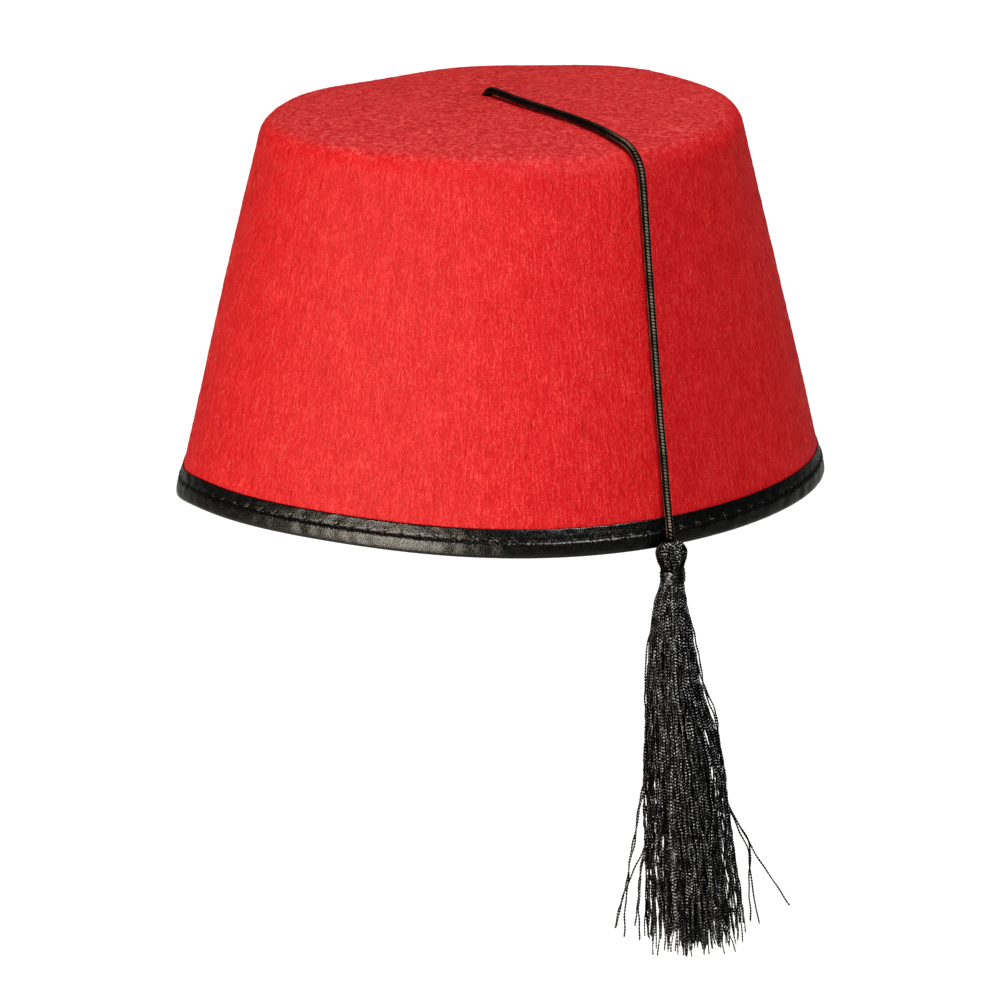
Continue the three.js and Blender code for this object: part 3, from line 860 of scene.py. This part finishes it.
def makeHead(material):
    # yarns that come out beside the cord, go over the knob and down to the neck, on a plain dark body
    random = np.random.default_rng(tassel["seed"])
    parts = []
    steps = tassel["headSteps"]
    share = np.linspace(0, 1, steps)
    rows = tassel["headRows"]
    over = [(down, width / 2) for down, width, _ in rows[1:]]
    profile = smoothLine(tassel["fromCord"] + over + tassel["toNeck"], steps)
    flatness = np.interp(profile[:, 0], [row[0] for row in rows], [row[2] / row[1] for row in rows])
    for count, size, sway in tassel["headThreads"]:
        start = fullTurn * (np.arange(count) + random.uniform(-0.3, 0.3, count)) / count
        slant = random.normal(0, sway, (count, 1))
        angle = start[:, None] + slant * share + 0.08 * waver(random, count, share, 0.8)
        bulge = size + 0.03 * waver(random, count, share, 0.7)
        radius = profile[:, 1] * bulge
        across, along = radius * flatness * np.cos(angle), radius * np.sin(angle)
        paths = np.stack([across, along, -profile[:, 0] + 0 * angle], -1)
        # painted glints, strongest at its top and on one side, where the light catches it most
        shine = 0.9 - 1.2 * share + 0.35 * np.cos(angle - 0.6) + 0.4 * waver(random, count, share, 0.5)
        parts.append(twistedThreads(random, paths, squareTo(angle), tassel["thread"], shine))
    count = tassel["bodyRows"]
    turn = fullTurn * np.arange(count) / count
    down = np.linspace(tassel["bodyFrom"], tassel["bodyTo"], count)
    width, depth = halfSizes(rows + tassel["neckRows"][1:], down)
    body = ovalPoints(turn[None], tassel["bodySize"], down[:, None], width[:, None], depth[:, None])
    quads, fan = gridQuads(count, count), endFan(count)
    faces = np.concatenate([quads[:, ::-1], fan, fan[:, ::-1] + (count - 1) * count])
    parts.append((inTassel(body.reshape(-1, 3)), faces, np.full((body.size // 3, 2), 0.5)))
    points, quads, values = joined(parts)
    return addPiece("folded_tassel_head", points, [quads], material, values, ["tassel_head"])


def makeNeck(material):
    # one thread wound around the neck in two layers, the upper one loose enough to cross the lower. It has
    # painted glints in patches at set turns around the neck.
    random = np.random.default_rng(tassel["seed"] + 1)
    parts = []
    low, high = tassel["neckRows"][0][0] + 0.2, tassel["neckRows"][-1][0] - 0.2
    for (turns, size), (first, last) in zip(tassel["windings"], ((low, high), (high, low + 0.3))):
        steps = int(turns * tassel["stepsPerTurn"])
        share = np.linspace(0, 1, steps)
        angle = (fullTurn * turns * share + random.uniform(0, fullTurn))[None]
        down = first + (last - first) * share + 0.03 * waver(random, 1, share, 0.11)
        width, depth = halfSizes(tassel["neckRows"], down)
        path = ovalPoints(angle, size, down, width, depth)
        radius = tassel["windingThread"] / 2
        points, quads = tubesAlong(path, np.array([0.0, 0.0, 1.0]), radius, 0.85 * radius, 0, 6)
        glints = np.radians(tassel["neckGlints"])
        shine = sum(bell(turnFrom(glint, angle), tassel["glintWidth"]) for glint in glints)
        shine = np.clip(shine * (0.6 + 0.5 * waver(random, 1, share, 0.05)), 0, 1)
        parts.append((inTassel(points), quads, yarnValues(fullTurn * turns * share * 2, shine[0], 6)))
    points, quads, values = joined(parts)
    return addPiece("wound_tassel_neck", points, [quads], material, values, ["tassel_neck"])


def swayed(down):
    # how far along the hat's side the skirt's middle lies, at each distance down
    line = smoothLine(tassel["swayRows"], 80)
    return np.interp(down, line[:, 0], line[:, 1])


def skirtPaths(random, locks, count, share, spread, steps):
    # threads that hang from the neck: each keeps about its place in the oval section, gathers in locks with
    # others by sines of its angle, and sways more the lower it is. Fewer hang at the two edges of the skirt
    # than at its front and back.
    start = tassel["skirtRows"][0][0] - 1.5
    end = random.uniform(tassel["shortest"], tassel["longest"], (count, 1))
    short = random.uniform(0, 1, (count, 1)) < tassel["shortShare"]
    end = np.where(short, end - random.uniform(*tassel["shortBy"], (count, 1)), end)
    down = start + (end - start) * np.linspace(0, 1, steps)
    low = np.clip((down - start) / 100, 0, 1)
    first = fullTurn * (np.arange(count)[:, None] + random.uniform(-0.4, 0.4, (count, 1))) / count
    first = first - tassel["edgeGap"] * np.sin(2 * first)
    sway = sum(height * np.sin(waves * first + phase) / waves for waves, phase, height in locks)
    sway = sway + 0.1 * waver(random, count, down, 120, 2)
    angle = first + low * (sway + 0.035 * waver(random, count, down, 36, 2))
    crossing = random.uniform(0, 1, (count, 1)) < tassel["crossing"]
    angle = angle + np.where(crossing, low * 0.35 * waver(random, count, down, 80, 1), 0)
    place = share * (1 + random.uniform(-spread, 0, (count, 1)) * np.clip(low * 4, 0.3, 1))
    place = place + low * 0.05 * waver(random, count, down, 60) * np.clip(share, 0.3, 1)
    width, depth = halfSizes(tassel["skirtRows"], down)
    crimp = tassel["crimp"] * np.clip(low * 8, 0, 1) * np.clip((end - down) / 15, 0.15, 1)
    x = place * depth * np.cos(angle) + crimp * waver(random, count, down, 12, 3)
    y = place * width * np.sin(angle) + crimp * waver(random, count, down, 12, 3) + swayed(down)
    return np.stack([x, y, -down], -1), angle


def makeSkirt(material):
    # three layers of threads and the loose ones. All are squeezed thinner just below the neck.
    random = np.random.default_rng(tassel["seed"] + 2)
    count = tassel["locks"]
    locks = list(zip(random.integers(*tassel["lockWaves"], count), random.uniform(0, fullTurn, count),
                     random.uniform(*tassel["lockReach"], count)))
    for layer in ("outer", "inner", "core"):
        count, share, spread, thickness, steps = tassel[layer]
        paths, angle = skirtPaths(random, locks, count, share, spread, steps)
        squeeze = np.interp(-paths[..., 2], *zip(*tassel["squeeze"]))
        points, quads, values = joined([twistedThreads(random, paths, squareTo(angle), thickness * squeeze)])
        replaced = ["tassel_skirt"] if layer == "outer" else ()
        addPiece("skirt_threads_" + layer, points, [quads], material, values, replaced)
    makeStrays(random, material)


def makeStrays(random, material):
    # single threads that leave the skirt and hang beside it, each at its own distances from its outline
    steps = tassel["straySteps"]
    count = len(strays)
    start = tassel["skirtRows"][0][0] + 1
    end = np.array([[stray["path"][-1][0]] for stray in strays])
    down = start + (end - start) * np.linspace(0, 1, steps)
    lines = [smoothLine([(0, -1)] + stray["path"], 60) for stray in strays]
    away = np.stack([np.interp(row, line[:, 0], line[:, 1]) for row, line in zip(down, lines)])
    angle = np.radians([[stray["turn"]] for stray in strays]) + 0.04 * waver(random, count, down, 90)
    width, depth = halfSizes(tassel["skirtRows"], down)
    crimp = tassel["strayCrimp"] * waver(random, count, down, 14, 2)
    x = (depth + away) * np.cos(angle) + crimp
    y = (width + away) * np.sin(angle) + crimp + swayed(down)
    paths = np.stack([x, y, -down], -1)
    points, quads, values = joined([twistedThreads(random, paths, squareTo(angle), tassel["strayThread"])])
    addPiece("skirt_threads_loose", points, [quads], material, values)


# The studio

studio = {
    "floorBelow": 300, "floorSide": 9000, "floorColour": "#CFCFCD", "glowColour": "#F9F9F7",
    # how strongly the floor glows between two distances, for the near and the far part, and how much of that
    # reaches the hat
    "glow": [(100, 600, 0.3, 0.8), (900, 3200, 0, 0.5)], "glowOnHat": 0.1,
    "world": "#F4F5F7", "worldStrength": 0.1,
    # the picture's darkest tones are deepened, as a camera does: linear values and what they become
    "toe": [(0.012, 0.004), (0.03, 0.016), (0.07, 0.058), (0.14, 0.136), (0.3, 0.3)],
    # each lamp's turn from the camera towards the picture's left, its lift, distance, width, height, power
    # and colour
    "lamps": {
        "key": (51, 0, 1700, 620, 900, 29, "#FFF3E2"),
        "second": (-27, 50, 1900, 900, 500, 30, "#FFFFFF"),
        "back": (180, 66, 1500, 1100, 1100, 9, "#FFFFFF"),
    },
    "lampAim": (0, 0, 50),
}


def makeFloor():
    # a pale floor that glows more strongly away from the hat, as a lit backdrop does
    half = studio["floorSide"] / 2 * mm
    low = -studio["floorBelow"] * mm
    mesh = bpy.data.meshes.new("floor")
    corners = [(x * half, y * half, low) for x, y in ((-1, -1), (1, -1), (1, 1), (-1, 1))]
    mesh.from_pydata(corners, [], [(0, 1, 2, 3)])
    material, tree = newTree("paleFloor")
    reach = addNode(tree, "VectorMath", {"operation": "LENGTH"}, {0: millimetres(tree)}, "Value")
    near, far = (addNode(tree, "MapRange", None, {0: reach, **dict(enumerate(step, 1))})
                 for step in studio["glow"])
    glow = addNode(tree, "Math", {"operation": "ADD"}, {0: near, 1: far})
    seen = addNode(tree, "LightPath", None, None, "Is Camera Ray")
    share = addNode(tree, "MapRange", None, {0: seen, 3: studio["glowOnHat"], 4: 1.0})
    glow = addNode(tree, "Math", {"operation": "MULTIPLY"}, {0: glow, 1: share})
    shader = addNode(tree, "BsdfPrincipled", None, {
        "Base Color": linear(studio["floorColour"]), "Roughness": 0.9, "Specular IOR Level": 0.1,
        "Emission Color": linear(studio["glowColour"]), "Emission Strength": glow})
    addNode(tree, "OutputMaterial", None, {"Surface": shader})
    mesh.materials.append(material)
    floor = bpy.data.objects.new("floor", mesh)
    bpy.context.scene.collection.objects.link(floor)


def makeSky():
    # an even faint light all around, and the picture's tones
    world = bpy.data.worlds.new("studio")
    world.use_nodes = True
    world.node_tree.nodes.clear()
    sky = addNode(world.node_tree, "Background", None,
                  {"Color": linear(studio["world"]), "Strength": studio["worldStrength"]})
    addNode(world.node_tree, "OutputWorld", None, {"Surface": sky})
    bpy.context.scene.world = world
    tones = bpy.context.scene.view_settings
    tones.view_transform = "Standard"
    tones.use_curve_mapping = True
    for place, value in studio["toe"]:
        tones.curve_mapping.curves[3].points.new(place, value)
    tones.curve_mapping.update()


def makeLamps():
    # soft lamps that point at the hat
    for name, (left, lift, far, wide, high, power, colour) in studio["lamps"].items():
        turn, lift = math.radians(view["azimuth"] - left), math.radians(lift)
        away = Vector((math.sin(turn) * math.cos(lift), -math.cos(turn) * math.cos(lift), math.sin(lift)))
        lamp = bpy.data.objects.new(name, bpy.data.lights.new(name, "AREA"))
        lamp.data.shape, lamp.data.energy = "RECTANGLE", power
        lamp.data.size, lamp.data.size_y = wide * mm, high * mm
        lamp.data.color = linear(colour)[:3]
        lamp.location = (away * far + Vector(studio["lampAim"])) * mm
        lamp.rotation_euler = away.to_track_quat("Z", "Y").to_euler()
        bpy.context.scene.collection.objects.link(lamp)
    print("studio lit:", len(studio["lamps"]), "lamps")


braidMaterial = makeThreadMaterial("braidedPolyesterCord", yarnLooks["braid"])
rayonMaterial = makeThreadMaterial("twistedRayonThread", yarnLooks["rayon"])
woundMaterial = makeThreadMaterial("woundRayonThread", yarnLooks["wound"])
sewingMaterial = makeThreadMaterial("polyesterSewingThread", yarnLooks["sewing"])
cordPiece = makeCord(braidMaterial)
knotPiece = makeKnot(braidMaterial)
outerFelt = makeFeltCap(makeFeltMaterial())
makeFibres(outerFelt, makeFibreMaterial())
makeTape(makeTapeMaterial(), sewingMaterial)
headPiece = makeHead(rayonMaterial)
neckPiece = makeNeck(woundMaterial)
makeSkirt(rayonMaterial)
makeFloor()
makeSky()
makeLamps()
